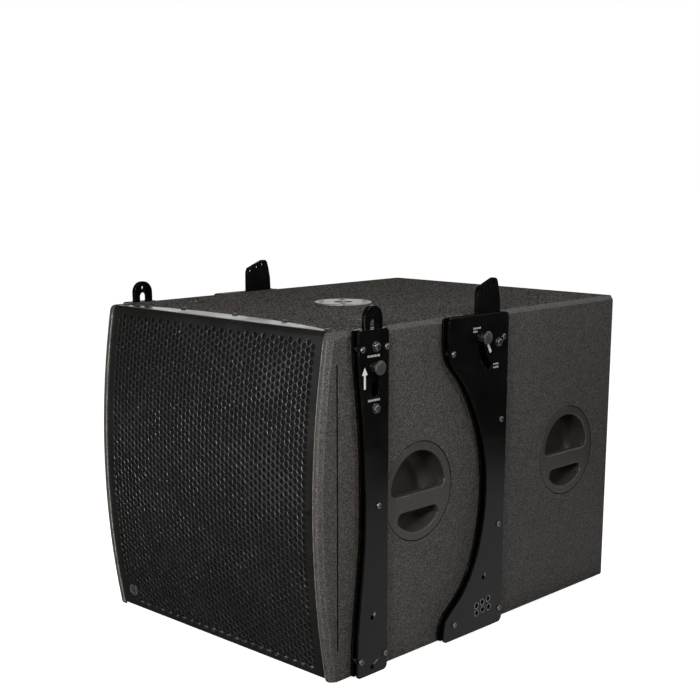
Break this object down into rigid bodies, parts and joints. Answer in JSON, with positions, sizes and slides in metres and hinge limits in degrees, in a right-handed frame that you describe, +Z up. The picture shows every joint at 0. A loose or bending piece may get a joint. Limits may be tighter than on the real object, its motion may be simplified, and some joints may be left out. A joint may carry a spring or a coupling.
{
  "type": "line array speaker",
  "caption": "Flyable line array subwoofer: wooden box with bowed perforated grille, side rigging plates with links and locking knobs, recessed handles and a top pole socket.",
  "frame": {"origin": "centre of the footprint on the floor, under the rubber feet", "axes": "+X to the cabinet's right when seen from the front with -Y facing the viewer, +Y to the rear panel, +Z up"},
  "size_m": [0.6444, 0.8279, 0.649],
  "materials": {
    "cabinet_coating": "pebbled dark warm-grey coating on birch plywood",
    "raw_plywood": "black-stained plywood",
    "grille_steel": "satin charcoal powder coat",
    "acoustic_foam": "open-cell black acoustic foam",
    "black_screw": "blackened steel, slightly worn",
    "badge_metal": "satin blank disc",
    "pole_alloy": "satin",
    "foot_rubber": "matte",
    "handle_plastic": "fine pebbled",
    "tray_steel": "satin black powder coat",
    "socket_plastic": "moulded",
    "zinc_steel": "zinc plated",
    "rigging_plate": "satin near-black powder coat",
    "rigging_link": "semi-gloss black",
    "plunger_steel": "turned",
    "knob_plastic": "satin dark grey",
    "basket_metal": "textured black",
    "gasket_foam": "closed-cell",
    "motor_steel": "black zinc",
    "magnet_ferrite": "ferrite",
    "cone_paper": "pulp paper",
    "coil_metal": "copper wound former",
    "surround_cloth": "doped cloth",
    "lead_sleeve": "PVC sleeve"
  },
  "bodies": {
    "cabinet": {"side_panel_right": "cabinet_coating", "side_panel_left": "cabinet_coating", "top_panel": "cabinet_coating", "bottom_panel": "cabinet_coating", "rear_panel": "cabinet_coating", "front_baffle": "raw_plywood", "port_shelf": "raw_plywood", "window_brace": "raw_plywood", "grille_cleats": "raw_plywood", "grille": "grille_steel", "grille_foam": "acoustic_foam", "grille_screws": "black_screw", "badge_disc": "badge_metal", "pole_socket": "pole_alloy", "panel_screws": "black_screw", "rubber_feet": "foot_rubber", "handles_right": "handle_plastic", "handles_left": "handle_plastic", "connector_tray": "tray_steel", "connector_sockets": "socket_plastic", "plate_spacers": "zinc_steel", "plate_screws": "zinc_steel", "guide_bolts": "zinc_steel", "pivot_bolts": "zinc_steel", "front_inner_plate_right": "rigging_plate", "front_outer_plate_right": "rigging_plate", "rear_inner_plate_right": "rigging_plate", "rear_outer_plate_right": "rigging_plate", "front_inner_plate_left": "rigging_plate", "front_outer_plate_left": "rigging_plate", "rear_inner_plate_left": "rigging_plate", "rear_outer_plate_left": "rigging_plate", "woofer_basket": "basket_metal", "woofer_gasket": "gasket_foam", "woofer_top_plate": "motor_steel", "woofer_magnet": "magnet_ferrite", "woofer_yoke": "motor_steel", "woofer_surround": "surround_cloth", "woofer_spider": "surround_cloth", "woofer_bolts": "zinc_steel", "woofer_leads": "lead_sleeve"},
    "woofer_moving": {"woofer_cone": "cone_paper", "woofer_dust_cap": "cone_paper", "woofer_voice_coil": "coil_metal"},
    "front_link_right": {"front_link_right": "rigging_link", "front_pin_sleeve_right": "plunger_steel", "front_pin_spring_right": "plunger_steel"},
    "front_plunger_right": {"front_lock_plunger_right": "knob_plastic"},
    "rear_link_right": {"rear_link_right": "rigging_link", "rear_pin_sleeve_right": "plunger_steel", "rear_pin_spring_right": "plunger_steel"},
    "rear_plunger_right": {"rear_lock_plunger_right": "knob_plastic"},
    "front_link_left": {"front_link_left": "rigging_link", "front_pin_sleeve_left": "plunger_steel", "front_pin_spring_left": "plunger_steel"},
    "front_plunger_left": {"front_lock_plunger_left": "knob_plastic"},
    "rear_link_left": {"rear_link_left": "rigging_link", "rear_pin_sleeve_left": "plunger_steel", "rear_pin_spring_left": "plunger_steel"},
    "rear_plunger_left": {"rear_lock_plunger_left": "knob_plastic"}
  },
  "joints": [
    {"name": "front_link_slide_right", "type": "slide", "parent": "cabinet", "child": "front_link_right", "axis": [0, 0, 1], "range_m": [-0.036, 0]},
    {"name": "front_plunger_pull_right", "type": "slide", "parent": "front_link_right", "child": "front_plunger_right", "axis": [1, 0, 0], "range_m": [0, 0.006], "stiffness_N_per_m": 800, "springref_m": -0.004, "deforming": ["front_pin_spring_right"]},
    {"name": "rear_link_swing_right", "type": "hinge", "parent": "cabinet", "child": "rear_link_right", "pos_m": [0.2985, 0.0169, 0.5356], "axis": [1, 0, 0], "range_deg": [0, 70]},
    {"name": "rear_plunger_pull_right", "type": "slide", "parent": "rear_link_right", "child": "rear_plunger_right", "axis": [1, 0, 0], "range_m": [0, 0.006], "stiffness_N_per_m": 800, "springref_m": -0.004, "deforming": ["rear_pin_spring_right"]},
    {"name": "front_link_slide_left", "type": "slide", "parent": "cabinet", "child": "front_link_left", "axis": [0, 0, 1], "range_m": [-0.036, 0]},
    {"name": "front_plunger_pull_left", "type": "slide", "parent": "front_link_left", "child": "front_plunger_left", "axis": [-1, 0, 0], "range_m": [0, 0.006], "stiffness_N_per_m": 800, "springref_m": -0.004, "deforming": ["front_pin_spring_left"]},
    {"name": "rear_link_swing_left", "type": "hinge", "parent": "cabinet", "child": "rear_link_left", "pos_m": [-0.2985, 0.0169, 0.5356], "axis": [1, 0, 0], "range_deg": [0, 70]},
    {"name": "rear_plunger_pull_left", "type": "slide", "parent": "rear_link_left", "child": "rear_plunger_left", "axis": [-1, 0, 0], "range_m": [0, 0.006], "stiffness_N_per_m": 800, "springref_m": -0.004, "deforming": ["rear_pin_spring_left"]},
    {"name": "woofer_excursion", "type": "slide", "parent": "cabinet", "child": "woofer_moving", "axis": [0, -1, 0], "range_m": [-0.008, 0.008], "stiffness_N_per_m": 4000, "deforming": ["woofer_surround", "woofer_spider"]}
  ]
}
